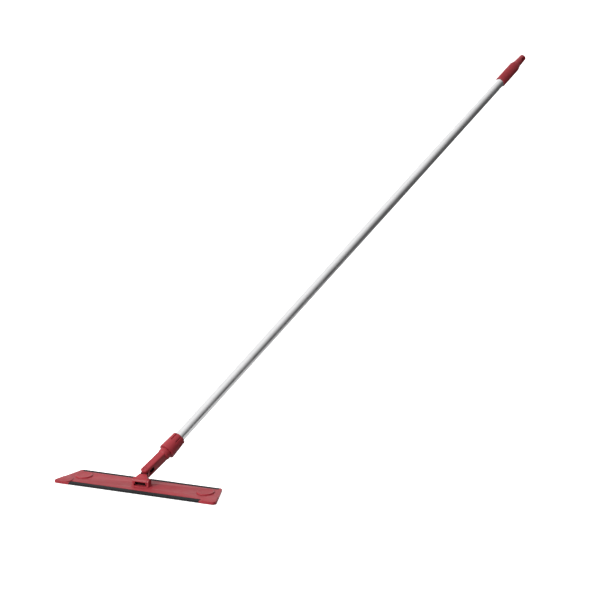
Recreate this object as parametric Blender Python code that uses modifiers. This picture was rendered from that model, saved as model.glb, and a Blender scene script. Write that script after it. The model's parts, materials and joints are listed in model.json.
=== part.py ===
"""Flat mop: a trapezoid head on a two-axis joint, a twist-lock socket and an aluminium pole.

The origin is the middle of the head's sole. X runs along the head and +Y towards its short edge.
"""

import math

import bmesh
import bpy
from mathutils import Matrix

MM = 0.001

# Head
HEAD_FRONT = 400 * MM
HEAD_REAR = HEAD_FRONT * 0.87
HEAD_DEPTH = 91 * MM
HEAD_TOP = 5.0 * MM
CORNER_R = 8 * MM
TAPE_PROUD = 0.6 * MM

# Soft edge strips, and the tongue of the head that they clip over
STRIP_WALL = 1.3 * MM
STRIP_NOSE = 1.5 * MM
FRONT_STRIP_LENGTH = HEAD_FRONT - 82 * MM
FRONT_STRIP_WIDTH = 12 * MM
REAR_STRIP_LENGTH = HEAD_REAR - 12 * MM
REAR_STRIP_WIDTH = 10 * MM
STRIP_LIP = 7 * MM

# Round caps and raised corner pads on the top face
CAP_R = HEAD_DEPTH * 3 / 14
CAP_X = HEAD_FRONT / 2 - 50 * MM
CAP_Y = HEAD_DEPTH / 2 - 17 * MM - CAP_R
CAP_PROUD = 2.4 * MM
CAP_SEAT = 1.5 * MM
CAP_DISH = 0.5 * MM
CAP_RIM = 3.5 * MM
CAP_EDGE = 1.2 * MM
PAD_R = 20 * MM
PAD_BACK = 16 * MM
PAD_INSET = 1.5 * MM
PAD_PROUD = 1.6 * MM

# Pins of the two-axis joint
PIN_R = 3.0 * MM
BORE_R = PIN_R + 0.25 * MM
PIN_HEAD_R = PIN_R + 1.6 * MM
PIN_HEAD_THICK = 1.2 * MM
PIN_EDGE = 0.3 * MM

# Bracket and the joint's middle piece. The barrel turns just clear of the bracket's foot.
EAR_R = PIN_R + 4.5 * MM
EAR_THICK = 4.2 * MM
EAR_FLARE = 1.5 * MM
BARREL_R = 8.0 * MM
BARREL_LENGTH = 31 * MM
SIDE_CLEARANCE = 0.3 * MM
BRACKET_DEPTH = 26 * MM
BRACKET_PROUD = 0.8 * MM
BRACKET_EDGE = 0.5 * MM
PIVOT_HEIGHT = HEAD_TOP + BRACKET_PROUD + BARREL_R + 0.5 * MM
PIVOT_Y = -1.0 * MM
NECK = 26.6 * MM
TONGUE_R = 8.8 * MM
TONGUE_THICK = 9.0 * MM
ROOT_EDGE = 0.5 * MM
ROOT_TALL = 4 * MM
ROOT_CLEAR = 2.6 * MM
POCKET_WIDTH = BARREL_LENGTH - 5.4 * MM
POCKET_HEIGHT = 9 * MM
POCKET_DEPTH = 4.2 * MM
BLOCK_LEAN = math.radians(57.8)
ARM_TILT = math.radians(17.7)

# Hook tape under the head. The outer tapes lie between the bracket's screws and the strips.
TAPE_THICK = 1.6 * MM
TAPE_INNER = BRACKET_DEPTH / 2 + 4 * MM
TAPE_OUTER = HEAD_DEPTH / 2 - 10.5 * MM
TAPE_WIDTH = TAPE_OUTER - TAPE_INNER
TAPE_OFFSET = (TAPE_OUTER + TAPE_INNER) / 2
TAPE_MIDDLE_WIDTH = 12 * MM
TAPE_END_MARGIN = 24 * MM

# The bracket's seat leaves a floor over the middle tape, and the screws come up through it
BRACKET_SEAT = HEAD_TOP - TAPE_THICK - 1.2 * MM
EAR_INNER = BARREL_LENGTH / 2 + SIDE_CLEARANCE
EAR_OUTER = EAR_INNER + EAR_THICK
SCREW_X = EAR_OUTER - 6 * MM
SCREW_Y = BRACKET_DEPTH / 2 - 2.6 * MM
SCREW_R = 1.5 * MM
SCREW_HEAD_R = 2.9 * MM
SCREW_HEAD_THICK = 1.2 * MM
SCREW_LENGTH = HEAD_TOP - 1.0 * MM
SCREW_TIP = 0.4 * MM
SCREW_TIP_LENGTH = 0.6 * MM
SCREW_SLOT = (3.4 * MM, 0.9 * MM, 1.2 * MM)

# Pole
POLE_R = 11.75 * MM
POLE_WALL = 1.2 * MM
POLE_LENGTH = 1534 * MM

# Arm, its split socket and the locking collar, as heights above the upper pin. The arm slants
# back, so that the pole's axis runs behind the pin by the offset.
ARM_OFFSET = 5.2 * MM
ARM_R = 9.2 * MM
ARM_THICK = 23.6 * MM
ARM_EDGE_R = 3.5 * MM
FORK_END_R = ARM_R + 0.05 * MM
FORK_SLOT_TOP = 17.5 * MM
SHOULDER_R = POLE_R + 2.55 * MM
SHOULDER_FOOT = 52 * MM
SHOULDER_TOP = SHOULDER_FOOT + 7.5 * MM
SHOULDER_EDGE = 0.8 * MM
SOCKET_FLOOR = SHOULDER_TOP + 2.5 * MM
SLEEVE_WALL = 1.6 * MM
SLEEVE_TOP_WALL = 0.8 * MM
SLIT_WIDTH = 1.6 * MM
COLLAR_FOOT = SOCKET_FLOOR + 8.5 * MM
SLIT_FOOT = COLLAR_FOOT + 9.5 * MM
SLEEVE_CONE = SLIT_FOOT + 4 * MM
SLEEVE_TOP = SLEEVE_CONE + 22 * MM
COLLAR_TOP = SLEEVE_TOP + 9.5 * MM
COLLAR_FOOT_R = POLE_R + 7.35 * MM
COLLAR_TOP_R = POLE_R + 4.45 * MM
COLLAR_LIP = 6 * MM
COLLAR_EDGE = 1.0 * MM
FLUTES = 8
FLUTE_R = 2.1 * MM
FLUTE_DEPTH = 1.9 * MM
FLUTE_LENGTH = 21 * MM

# Hand grip and hanging eye on the pole's upper end
GRIP_OVERLAP = 71 * MM
GRIP_LENGTH = 86 * MM
GRIP_R = POLE_R + 2.45 * MM
GRIP_RIBS = 22
GRIP_RIB_SHARE = 0.42
GRIP_GROOVE = (0.58, 0.84)
RIB_DEPTH = 0.8 * MM
GRIP_SHOULDER = 12 * MM
GRIP_SHOULDER_EDGE = 1.2 * MM
GRIP_EDGE = 1.0 * MM
EYE_FOOT_R = POLE_R - 1.35 * MM
EYE_TOP_R = POLE_R - 2.85 * MM
EYE_LENGTH = 35 * MM
EYE_EDGE = 1.2 * MM
EYE_SPIGOT_R = POLE_R - 5.25 * MM
EYE_SPIGOT = 12 * MM
EYE_FLAT = 2 * (EYE_TOP_R - 1.9 * MM)
EYE_FLAT_R = 8.0 * MM
HOLE_R = 5.0 * MM
HOLE_DROP = 12 * MM

# Meshes that touch keep this gap, and a cutter reaches this far past the face it opens
GAP = 0.3 * MM
OVER = 5 * MM
THROUGH = 80 * MM
ROUND = 36
PIN_SIDES = 20

# Turns that lay a pin along X, or across a fork along Y
SIDEWAYS = (0, math.pi / 2, 0)
CROSSWISE = (-math.pi / 2, 0, 0)

HEAD_BOTTOM = TAPE_PROUD
PLATE_THICK = HEAD_TOP - HEAD_BOTTOM
BORE_SIDE = POLE_R + GAP
SLEEVE_R = BORE_SIDE + SLEEVE_WALL
SLEEVE_TOP_R = BORE_SIDE + SLEEVE_TOP_WALL
POLE_FOOT = SOCKET_FLOOR + GAP
GRIP_FOOT = POLE_FOOT + POLE_LENGTH - GRIP_OVERLAP
GRIP_TOP = GRIP_FOOT + GRIP_LENGTH
EYE_FOOT = GRIP_TOP + GAP
EYE_TOP = EYE_FOOT + EYE_LENGTH


def clear_scene():
    """An empty scene, whatever it was started with."""
    for obj in list(bpy.data.objects):
        bpy.data.objects.remove(obj)


def collection(name, shown=True):
    made = bpy.data.collections.new(name)
    made.hide_render = not shown
    bpy.context.scene.collection.children.link(made)
    return made


def material(name, colour, roughness, metallic=0.0):
    """A Principled material of one colour."""
    made = bpy.data.materials.new(name)
    made.use_nodes = True
    shader = made.node_tree.nodes["Principled BSDF"]
    shader.inputs["Base Color"].default_value = (*colour, 1.0)
    shader.inputs["Roughness"].default_value = roughness
    shader.inputs["Metallic"].default_value = metallic
    return made


def red_plastic():
    return material("red_polypropylene", (0.36, 0.030, 0.040), 0.42)


def soft_rubber():
    return material("charcoal_soft_rubber", (0.030, 0.033, 0.038), 0.6)


def hook_tape():
    return material("black_hook_tape", (0.015, 0.015, 0.017), 0.85)


def zinc_steel():
    return material("zinc_plated_steel", (0.60, 0.60, 0.58), 0.35, 1.0)


def satin_aluminium():
    return material("satin_anodised_aluminium", (0.72, 0.73, 0.74), 0.3, 1.0)


clear_scene()
PARTS = collection("flat_mop")
CUTTERS = collection("cutters", shown=False)
RED = red_plastic()
RUBBER = soft_rubber()
TAPE = hook_tape()
STEEL = zinc_steel()
ALUMINIUM = satin_aluminium()


def hinge_frame(name, parent, location, rotation):
    """An empty on a joint's axis, which carries the pieces beyond that joint."""
    frame = bpy.data.objects.new(name, None)
    frame.empty_display_size = 0.02
    frame.parent = parent
    frame.location = location
    frame.rotation_euler = rotation
    PARTS.objects.link(frame)
    return frame


def place(mesh, name, finish=None, parent=None, location=(0, 0, 0), rotation=(0, 0, 0)):
    """An object of the mesh. One with no finish is a cutter."""
    obj = bpy.data.objects.new(name, mesh)
    obj.parent = parent
    obj.location = location
    obj.rotation_euler = rotation
    if finish:
        mesh.materials.append(finish)
        PARTS.objects.link(obj)
    else:
        obj.hide_render = True
        obj.display_type = "WIRE"
        CUTTERS.objects.link(obj)
    return obj


def mesh_of(build, name):
    """A mesh that the function build fills through a bmesh."""
    mesh = bpy.data.meshes.new(name)
    shape = bmesh.new()
    build(shape)
    bmesh.ops.recalc_face_normals(shape, faces=shape.faces)
    shape.to_mesh(mesh)
    shape.free()
    return mesh


def block(name, size, centre=(0, 0, 0)):
    """A box of the size, round the centre."""
    def build(shape):
        matrix = Matrix.Translation(centre) @ Matrix.Diagonal((*size, 1.0))
        bmesh.ops.create_cube(shape, size=1.0, matrix=matrix)

    return mesh_of(build, name)


TURN_TO = {
    "X": Matrix.Rotation(math.pi / 2, 4, "Y"),
    "Y": Matrix.Rotation(-math.pi / 2, 4, "X"),
    "Z": Matrix.Identity(4),
}


def rods(name, radius, length, axis="Z", centres=((0, 0, 0),), sides=PIN_SIDES):
    """One round bar along the axis at each centre."""
    def build(shape):
        for centre in centres:
            bmesh.ops.create_cone(
                shape,
                cap_ends=True,
                segments=sides,
                radius1=radius,
                radius2=radius,
                depth=length,
                matrix=Matrix.Translation(centre) @ TURN_TO[axis],
            )

    return mesh_of(build, name)


def outline_mesh(name, points, thickness):
    """A flat outline made solid, with its middle at z = 0."""
    curve = bpy.data.curves.new(name, "CURVE")
    curve.dimensions = "2D"
    curve.fill_mode = "BOTH"
    curve.extrude = thickness / 2
    spline = curve.splines.new("POLY")
    spline.points.add(len(points) - 1)
    for point, (x, y) in zip(spline.points, points):
        point.co = (x, y, 0, 1)
    spline.use_cyclic_u = True
    drawn = bpy.data.objects.new(name, curve)
    bpy.context.scene.collection.objects.link(drawn)
    graph = bpy.context.evaluated_depsgraph_get()
    mesh = bpy.data.meshes.new_from_object(drawn.evaluated_get(graph))
    bpy.data.objects.remove(drawn)
    shape = bmesh.new()
    shape.from_mesh(mesh)
    bmesh.ops.remove_doubles(shape, verts=shape.verts, dist=1e-6)
    bmesh.ops.recalc_face_normals(shape, faces=shape.faces)
    shape.to_mesh(mesh)
    shape.free()
    return mesh


def turned(name, profile):
    """A closed profile of (radius, height) points, for turn_round to turn about Z."""
    mesh = bpy.data.meshes.new(name)
    points = [(radius, 0, height) for radius, height in profile]
    edges = [(i, (i + 1) % len(points)) for i in range(len(points))]
    mesh.from_pydata(points, edges, [])
    return mesh


def turn_round(obj, sides=ROUND):
    """The Screw modifier that turns a profile into a closed ring or body."""
    screw = obj.modifiers.new("turn", "SCREW")
    screw.steps = sides
    screw.render_steps = sides
    screw.use_merge_vertices = True
    screw.merge_threshold = 1e-5
    screw.use_smooth_shade = True
    return obj


def boolean(obj, other, operation):
    made = obj.modifiers.new(other.name, "BOOLEAN")
    made.operation = operation
    made.object = other


def cut(obj, *cutters):
    for cutter in cutters:
        boolean(obj, cutter, "DIFFERENCE")


def join(obj, *others):
    for other in others:
        boolean(obj, other, "UNION")


def bevel(obj, width, segments=2, angle=40):
    made = obj.modifiers.new("bevel", "BEVEL")
    made.width = width
    made.segments = segments
    made.limit_method = "ANGLE"
    made.angle_limit = math.radians(angle)
    made.harden_normals = False


def smooth(obj):
    obj.data.shade_smooth()
    obj.data.set_sharp_from_angle(angle=math.radians(35))


def arc(centre, radius, start, end, steps):
    """Points of an arc in degrees, both ends included."""
    found = []
    for i in range(steps + 1):
        angle = math.radians(start + (end - start) * i / steps)
        found.append((centre[0] + radius * math.cos(angle), centre[1] + radius * math.sin(angle)))
    return found


def rounded(corners, radius, steps=5):
    """The corners of a convex outline, anticlockwise, each replaced by an arc."""
    found = []
    for i, here in enumerate(corners):
        before = corners[i - 1]
        after = corners[(i + 1) % len(corners)]
        into = math.atan2(here[1] - before[1], here[0] - before[0])
        out = math.atan2(after[1] - here[1], after[0] - here[0])
        turn = (out - into) % (2 * math.pi)
        reach = radius * math.tan(turn / 2)
        centre = (
            here[0] - reach * math.cos(into) - radius * math.sin(into),
            here[1] - reach * math.sin(into) + radius * math.cos(into),
        )
        start = math.degrees(into) - 90
        found += arc(centre, radius, start, start + math.degrees(turn), steps)
    return found


def half_width(y, inset=0.0):
    """Half the head's length at a distance y from its middle, less an inset."""
    share = (y + HEAD_DEPTH / 2) / HEAD_DEPTH
    return (HEAD_FRONT + (HEAD_REAR - HEAD_FRONT) * share) / 2 - inset


def head_outline(inset=0.0):
    """The trapezoid of the head, with round corners."""
    front = -HEAD_DEPTH / 2 + inset
    rear = HEAD_DEPTH / 2 - inset
    corners = [
        (-half_width(front, inset), front),
        (half_width(front, inset), front),
        (half_width(rear, inset), rear),
        (-half_width(rear, inset), rear),
    ]
    return rounded(corners, CORNER_R - inset)


# ---------------------------------------------------------------- head


def strip_profile(width):
    """The C of an edge strip, from its nose at 0 inwards, as (depth, height) points."""
    low = HEAD_BOTTOM
    high = HEAD_TOP
    return [
        (0, low),
        (STRIP_LIP, low),
        (STRIP_LIP, low + STRIP_WALL),
        (STRIP_NOSE, low + STRIP_WALL),
        (STRIP_NOSE, high - STRIP_WALL),
        (width, high - STRIP_WALL),
        (width, high),
        (0, high),
    ]


def edge_strip(name, length, width, side):
    """A soft strip clipped over the front (side -1) or rear (side +1) edge."""
    mesh = outline_mesh(name, strip_profile(width), length)
    # The outline's x runs inwards from the nose, its y is height and its extrusion is along X.
    turn = Matrix(((0, 0, 1), (-side, 0, 0), (0, 1, 0))).to_4x4()
    mesh.transform(Matrix.Translation((0, side * HEAD_DEPTH / 2, 0)) @ turn)
    if side > 0:
        mesh.flip_normals()
    obj = place(mesh, name, RUBBER)
    smooth(obj)
    return obj


def strip_rebates(name, length, width, side):
    """Cutters for the steps that an edge strip fills, above, below and in front of the tongue."""
    edge = side * HEAD_DEPTH / 2
    cutters = []
    spans = (
        ("upper", width + GAP, HEAD_TOP - STRIP_WALL - GAP, HEAD_TOP + 2 * GAP),
        ("lower", STRIP_LIP + GAP, HEAD_BOTTOM - 2 * GAP, HEAD_BOTTOM + STRIP_WALL + GAP),
        ("nose", STRIP_NOSE + GAP, HEAD_BOTTOM - GAP, HEAD_TOP + GAP),
    )
    for span, depth, low, high in spans:
        size = (length + 2 * GAP, depth + OVER, high - low)
        centre = (0, edge + side * (OVER - depth) / 2, (low + high) / 2)
        cutters.append(place(block(f"{name}_{span}_cut", size, centre), f"{name}_{span}_cut"))
    return cutters


def tape_width(place_y):
    return TAPE_WIDTH if place_y else TAPE_MIDDLE_WIDTH


def tape_length(place_y):
    """The tape stops short of the head's slanting ends."""
    return 2 * half_width(place_y + tape_width(place_y) / 2, TAPE_END_MARGIN)


def tape_strip(name, place_y):
    """A strip of hook tape, let into the sole and standing proud of it."""
    size = (tape_length(place_y), tape_width(place_y), TAPE_THICK)
    return place(block(name, size, (0, place_y, TAPE_THICK / 2)), name, TAPE)


def tape_pocket(name, place_y):
    depth = TAPE_THICK + GAP
    size = (tape_length(place_y) + 2 * GAP, tape_width(place_y) + 2 * GAP, depth)
    return place(block(name, size, (0, place_y, depth / 2)), name)


def corner_pad(name, side):
    """The raised pad of a front corner: a round disc cut off at the head's outline."""
    pad_x = side * (FRONT_STRIP_LENGTH / 2 + PAD_R + GAP)
    pad_y = -HEAD_DEPTH / 2 + PAD_BACK
    thickness = PLATE_THICK / 2 + PAD_PROUD
    foot = HEAD_TOP - PLATE_THICK / 2
    disc = rods(name, PAD_R, thickness, centres=((pad_x, pad_y, foot + thickness / 2),), sides=ROUND)
    pad = place(disc, name)
    limit = place(outline_mesh(f"{name}_limit", head_outline(PAD_INSET), THROUGH), f"{name}_limit")
    boolean(pad, limit, "INTERSECT")
    return pad


def screw_places():
    return [(x, PIVOT_Y + y) for x in (-SCREW_X, SCREW_X) for y in (-SCREW_Y, SCREW_Y)]


def bracket_size():
    return 2 * EAR_OUTER, BRACKET_DEPTH


def base_plate():
    """The moulded head, with its seats for the strips, tapes, caps, bracket and screws."""
    mesh = outline_mesh("base_plate", head_outline(), PLATE_THICK)
    mesh.transform(Matrix.Translation((0, 0, (HEAD_TOP + HEAD_BOTTOM) / 2)))
    plate = place(mesh, "base_plate", RED)
    join(plate, corner_pad("left_corner_pad", -1), corner_pad("right_corner_pad", 1))
    cut(plate, *strip_rebates("front_strip", FRONT_STRIP_LENGTH, FRONT_STRIP_WIDTH, -1))
    cut(plate, *strip_rebates("rear_strip", REAR_STRIP_LENGTH, REAR_STRIP_WIDTH, 1))
    for place_y in (-TAPE_OFFSET, 0, TAPE_OFFSET):
        cut(plate, tape_pocket(f"tape_pocket_{round(place_y / MM)}", place_y))
    seat = CAP_SEAT + GAP + OVER
    centres = [(side * CAP_X, CAP_Y, HEAD_TOP + OVER - seat / 2) for side in (-1, 1)]
    cut(plate, place(rods("cap_seats", CAP_R + GAP, seat, centres=centres, sides=ROUND), "cap_seats"))
    width, depth = bracket_size()
    seat = BRACKET_SEAT + GAP + OVER
    size = (width + 2 * GAP, depth + 2 * GAP, seat)
    centre = (0, PIVOT_Y, HEAD_TOP + OVER - seat / 2)
    cut(plate, place(block("bracket_seat", size, centre), "bracket_seat"))
    shanks = [(x, y, HEAD_TOP) for x, y in screw_places()]
    heads = [(x, y, HEAD_BOTTOM) for x, y in screw_places()]
    cut(plate, place(rods("screw_holes", SCREW_R + GAP, THROUGH, centres=shanks), "screw_holes"))
    depth = 2 * (SCREW_HEAD_THICK + GAP)
    cut(plate, place(rods("screw_sinks", SCREW_HEAD_R + GAP, depth, centres=heads), "screw_sinks"))
    smooth(plate)


def round_cap(name, side):
    """A dished round cap seated in the head's top face."""
    low = HEAD_TOP - CAP_SEAT
    high = HEAD_TOP + CAP_PROUD
    profile = [
        (0, high - CAP_DISH),
        (CAP_R - 2 * CAP_RIM, high - CAP_DISH),
        (CAP_R - CAP_RIM, high),
        (CAP_R - CAP_EDGE, high),
        (CAP_R, high - CAP_EDGE),
        (CAP_R, low),
        (0, low),
    ]
    cap = place(turned(name, profile), name, RED, location=(side * CAP_X, CAP_Y, 0))
    turn_round(cap)


def ear_outline():
    """An ear seen from the side: a round top on a foot as deep as the bracket's middle."""
    low = HEAD_TOP - BRACKET_SEAT
    top = arc((0, PIVOT_HEIGHT), EAR_R, -10, 190, 16)
    foot = EAR_R + EAR_FLARE
    return [(foot, low), *top, (-foot, low)]


def hinge_bracket():
    """The clevis on the head: a foot let into the plate and two ears for the lower pin."""
    width, depth = bracket_size()
    low = HEAD_TOP - BRACKET_SEAT
    high = HEAD_TOP + BRACKET_PROUD
    foot = block("hinge_bracket", (width, depth, high - low), (0, 0, (low + high) / 2))
    bracket = place(foot, "hinge_bracket", RED, location=(0, PIVOT_Y, 0))
    bevel(bracket, BRACKET_EDGE)
    for side, name in ((-1, "left_ear"), (1, "right_ear")):
        mesh = outline_mesh(name, ear_outline(), EAR_THICK)
        turn = Matrix(((0, 0, 1), (1, 0, 0), (0, 1, 0))).to_4x4()
        mesh.transform(Matrix.Translation((side * (EAR_INNER + EAR_OUTER) / 2, 0, 0)) @ turn)
        ear = place(mesh, name, location=(0, PIVOT_Y, 0))
        join(bracket, ear)
    bore = rods("ear_bore", BORE_R, THROUGH, "X", ((0, 0, PIVOT_HEIGHT),))
    cut(bracket, place(bore, "ear_bore", location=(0, PIVOT_Y, 0)))
    cut(bracket, pin_sinks("ear_sinks", None, (0, PIVOT_Y, PIVOT_HEIGHT), EAR_OUTER, SIDEWAYS))
    pilot_top = HEAD_BOTTOM + SCREW_LENGTH + GAP
    centres = [(x, y, (low - OVER + pilot_top) / 2) for x, y in screw_places()]
    pilots = rods("pilots", SCREW_R + GAP, pilot_top - low + OVER, centres=centres)
    cut(bracket, place(pilots, "pilots"))
    smooth(bracket)


def bracket_screws():
    """Four screws up through the plate into the bracket's foot."""
    for number, (x, y) in enumerate(screw_places(), 1):
        name = f"bracket_screw_{number}"
        low = HEAD_BOTTOM
        profile = [
            (0, low + SCREW_LENGTH),
            (SCREW_R - SCREW_TIP, low + SCREW_LENGTH),
            (SCREW_R, low + SCREW_LENGTH - SCREW_TIP_LENGTH),
            (SCREW_R, low + SCREW_HEAD_THICK),
            (SCREW_HEAD_R, low + SCREW_HEAD_THICK),
            (SCREW_HEAD_R, low),
            (0, low),
        ]
        screw = place(turned(name, profile), name, STEEL, location=(x, y, 0))
        turn_round(screw, PIN_SIDES)
        slot = block(f"{name}_slot", SCREW_SLOT, (0, 0, low))
        cut(screw, place(slot, f"{name}_slot", location=(x, y, 0)))


def headed_pin(name, parent, middle, reach, turn):
    """A pin whose head lies flush in one outer face, and whose plain end stops short of the other."""
    profile = [
        (0, reach),
        (PIN_HEAD_R - PIN_EDGE, reach),
        (PIN_HEAD_R, reach - PIN_EDGE),
        (PIN_HEAD_R, reach - PIN_HEAD_THICK),
        (PIN_R, reach - PIN_HEAD_THICK),
        (PIN_R, -reach + GAP),
        (0, -reach + GAP),
    ]
    turn_round(place(turned(name, profile), name, RED, parent, middle, turn), PIN_SIDES)


def pin_ring(name, parent, middle, reach, turn):
    """The ring pressed on a pin's plain end, flush in its outer face."""
    inner = PIN_R + GAP / 2
    top = -reach + PIN_HEAD_THICK
    profile = [(inner, top), (PIN_HEAD_R, top), (PIN_HEAD_R, -reach), (inner, -reach)]
    turn_round(place(turned(name, profile), name, RED, parent, middle, turn), PIN_SIDES)


def pin_sinks(name, parent, middle, reach, turn):
    """Cutters for the sinks of a pin's head and ring, in both outer faces."""
    depth = PIN_HEAD_THICK + GAP
    centres = [(0, 0, side * (reach + (OVER - depth) / 2)) for side in (-1, 1)]
    sinks = rods(name, PIN_HEAD_R + GAP, depth + OVER, centres=centres)
    return place(sinks, name, None, parent, middle, turn)


# ---------------------------------------------------------------- joint


def tongue_outline():
    """The block's flat side, from the barrel's middle up to a round end about the upper pin."""
    root = BARREL_LENGTH / 2 - 2 * ROOT_EDGE
    low = ROOT_TALL - 2 * ROOT_EDGE
    end = arc((0, NECK), TONGUE_R, 0, 180, 20)
    waist = NECK - TONGUE_R * 0.9
    right = [(root, 0), (root, low), (TONGUE_R, waist)]
    left = [(-TONGUE_R, waist), (-root, low), (-root, 0)]
    return [*right, *end, *left]


def shoulder_outline():
    """The thicker root of the tongue, which ends clear of the fork's reach."""
    root = BARREL_LENGTH / 2 - ROOT_EDGE
    top = NECK - FORK_END_R - ROOT_CLEAR
    right = [(root, 0), (root, ROOT_TALL), (TONGUE_R, top)]
    left = [(-TONGUE_R, top), (-root, ROOT_TALL), (-root, 0)]
    return [*right, *left]


def upright(name, outline, thickness):
    """An outline drawn in X and Z, as thick as said along Y."""
    mesh = outline_mesh(name, outline, thickness)
    mesh.transform(Matrix.Rotation(math.pi / 2, 4, "X"))
    return mesh


def cross_block(lower):
    """The joint's middle piece: a barrel on the lower pin and a tongue for the upper one."""
    barrel = rods("cross_block", BARREL_R, BARREL_LENGTH, "X", sides=ROUND)
    middle = place(barrel, "cross_block", RED, lower)
    thick = 2 * (BARREL_R - ROOT_EDGE)
    shoulder = place(upright("shoulder", shoulder_outline(), thick), "shoulder", None, lower)
    tongue = place(upright("tongue", tongue_outline(), TONGUE_THICK), "tongue", None, lower)
    join(middle, shoulder, tongue)
    size = (POCKET_WIDTH, POCKET_HEIGHT, POCKET_DEPTH + OVER)
    pocket = block("barrel_pocket", size, (0, 0, -BARREL_R + (POCKET_DEPTH - OVER) / 2))
    cut(middle, place(pocket, "barrel_pocket", None, lower))
    cut(middle, place(rods("barrel_bore", BORE_R, THROUGH, "X"), "barrel_bore", None, lower))
    bore = rods("tongue_bore", BORE_R, THROUGH, "Y", ((0, 0, NECK),))
    cut(middle, place(bore, "tongue_bore", None, lower))
    smooth(middle)


# ---------------------------------------------------------------- arm and collar


def arm_section():
    """The arm's cross-section: a rectangle with round corners."""
    x = ARM_R
    y = ARM_THICK / 2
    return rounded([(-x, -y), (x, -y), (x, y), (-x, y)], ARM_EDGE_R)


def fork_end():
    """The arm's foot from the front, round about the upper pin and a little wider than its section."""
    end = arc((0, 0), FORK_END_R, 180, 360, 24)
    return [*end, (FORK_END_R, THROUGH), (-FORK_END_R, THROUGH)]


def arm_profile():
    """The turned part of the arm: a shoulder, and the sleeve round the pole's socket."""
    top = COLLAR_FOOT - GAP
    inside = ARM_R - 1.5 * MM
    return [
        (SLEEVE_TOP_R, SLEEVE_TOP),
        (SLEEVE_R, SLEEVE_CONE),
        (SLEEVE_R, top),
        (SHOULDER_R - SHOULDER_EDGE, top),
        (SHOULDER_R, top - SHOULDER_EDGE),
        (SHOULDER_R, SHOULDER_TOP),
        (inside, SHOULDER_FOOT),
        (0, SHOULDER_FOOT),
        (0, SOCKET_FLOOR),
        (BORE_SIDE, SOCKET_FLOOR),
        (BORE_SIDE, SLEEVE_TOP),
    ]


def arm(upper, line):
    """The fork, the slanting neck and the split sleeve that grips the pole, moulded in one."""
    low = -2 * ARM_R
    high = SHOULDER_TOP + 1.0 * MM
    mesh = outline_mesh("arm", arm_section(), high - low)
    mesh.transform(Matrix.Translation((0, 0, (low + high) / 2)))
    slant = Matrix.Identity(4)
    slant[1][2] = ARM_OFFSET / SHOULDER_TOP
    mesh.transform(slant)
    body = place(mesh, "arm", RED, upper)
    end = upright("fork_end", fork_end(), THROUGH)
    boolean(body, place(end, "fork_end", None, upper), "INTERSECT")
    join(body, turn_round(place(turned("arm_neck", arm_profile()), "arm_neck", None, line)))
    slot_width = TONGUE_THICK + 2 * SIDE_CLEARANCE
    size = (THROUGH, slot_width, FORK_SLOT_TOP + THROUGH)
    slot = block("fork_slot", size, (0, 0, (FORK_SLOT_TOP - THROUGH) / 2))
    cut(body, place(slot, "fork_slot", None, upper))
    cut(body, place(rods("fork_bore", BORE_R, THROUGH, "Y"), "fork_bore", None, upper))
    cut(body, pin_sinks("fork_sinks", upper, (0, 0, 0), ARM_THICK / 2, CROSSWISE))
    height = SLEEVE_TOP - SLIT_FOOT + OVER
    for number, turn in enumerate((0, math.pi / 2), 1):
        slit = block(f"slit_{number}", (THROUGH, SLIT_WIDTH, height), (0, 0, SLIT_FOOT + height / 2))
        cut(body, place(slit, f"slit_{number}", None, line, rotation=(0, 0, turn)))
    smooth(body)


def collar_profile():
    """The collar's section: a cone outside, and inside a round wall, a cone and a lip."""
    inner = SLEEVE_R + GAP
    cone_top = COLLAR_TOP - COLLAR_LIP
    cone_r = SLEEVE_TOP_R + GAP
    lip = POLE_R + GAP
    return [
        (lip, COLLAR_TOP),
        (COLLAR_TOP_R - COLLAR_EDGE, COLLAR_TOP),
        (COLLAR_TOP_R, COLLAR_TOP - COLLAR_EDGE),
        (COLLAR_FOOT_R, COLLAR_FOOT + COLLAR_EDGE),
        (COLLAR_FOOT_R - COLLAR_EDGE, COLLAR_FOOT),
        (inner, COLLAR_FOOT),
        (inner, SLEEVE_CONE),
        (cone_r, SLEEVE_TOP + GAP),
        (cone_r, cone_top),
        (lip, cone_top),
    ]


def locking_collar(line):
    """The twist-lock nut round the sleeve, with finger flutes open at its socket end."""
    collar = place(turned("locking_collar", collar_profile()), "locking_collar", RED, line)
    turn_round(collar)
    slope = math.atan2(COLLAR_FOOT_R - COLLAR_TOP_R, COLLAR_TOP - COLLAR_FOOT)
    length = FLUTE_LENGTH + OVER
    height = COLLAR_TOP - FLUTE_LENGTH + length / 2
    share = (height - COLLAR_FOOT) / (COLLAR_TOP - COLLAR_FOOT)
    surface = COLLAR_FOOT_R + (COLLAR_TOP_R - COLLAR_FOOT_R) * share

    def build(shape):
        for number in range(FLUTES):
            turn = Matrix.Rotation(2 * math.pi * number / FLUTES, 4, "Z")
            lean = Matrix.Rotation(-slope, 4, "Y")
            out = Matrix.Translation((surface + FLUTE_R - FLUTE_DEPTH, 0, height))
            bmesh.ops.create_cone(
                shape,
                cap_ends=True,
                segments=PIN_SIDES,
                radius1=FLUTE_R,
                radius2=FLUTE_R,
                depth=length,
                matrix=turn @ out @ lean,
            )

    cut(collar, place(mesh_of(build, "flutes"), "flutes", None, line))


# ---------------------------------------------------------------- pole and its end


def pole(line):
    """A drawn round tube, open at both ends."""
    top = POLE_FOOT + POLE_LENGTH
    inner = POLE_R - POLE_WALL
    profile = [(inner, top), (POLE_R, top), (POLE_R, POLE_FOOT), (inner, POLE_FOOT)]
    turn_round(place(turned("pole", profile), "pole", ALUMINIUM, line))


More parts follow.
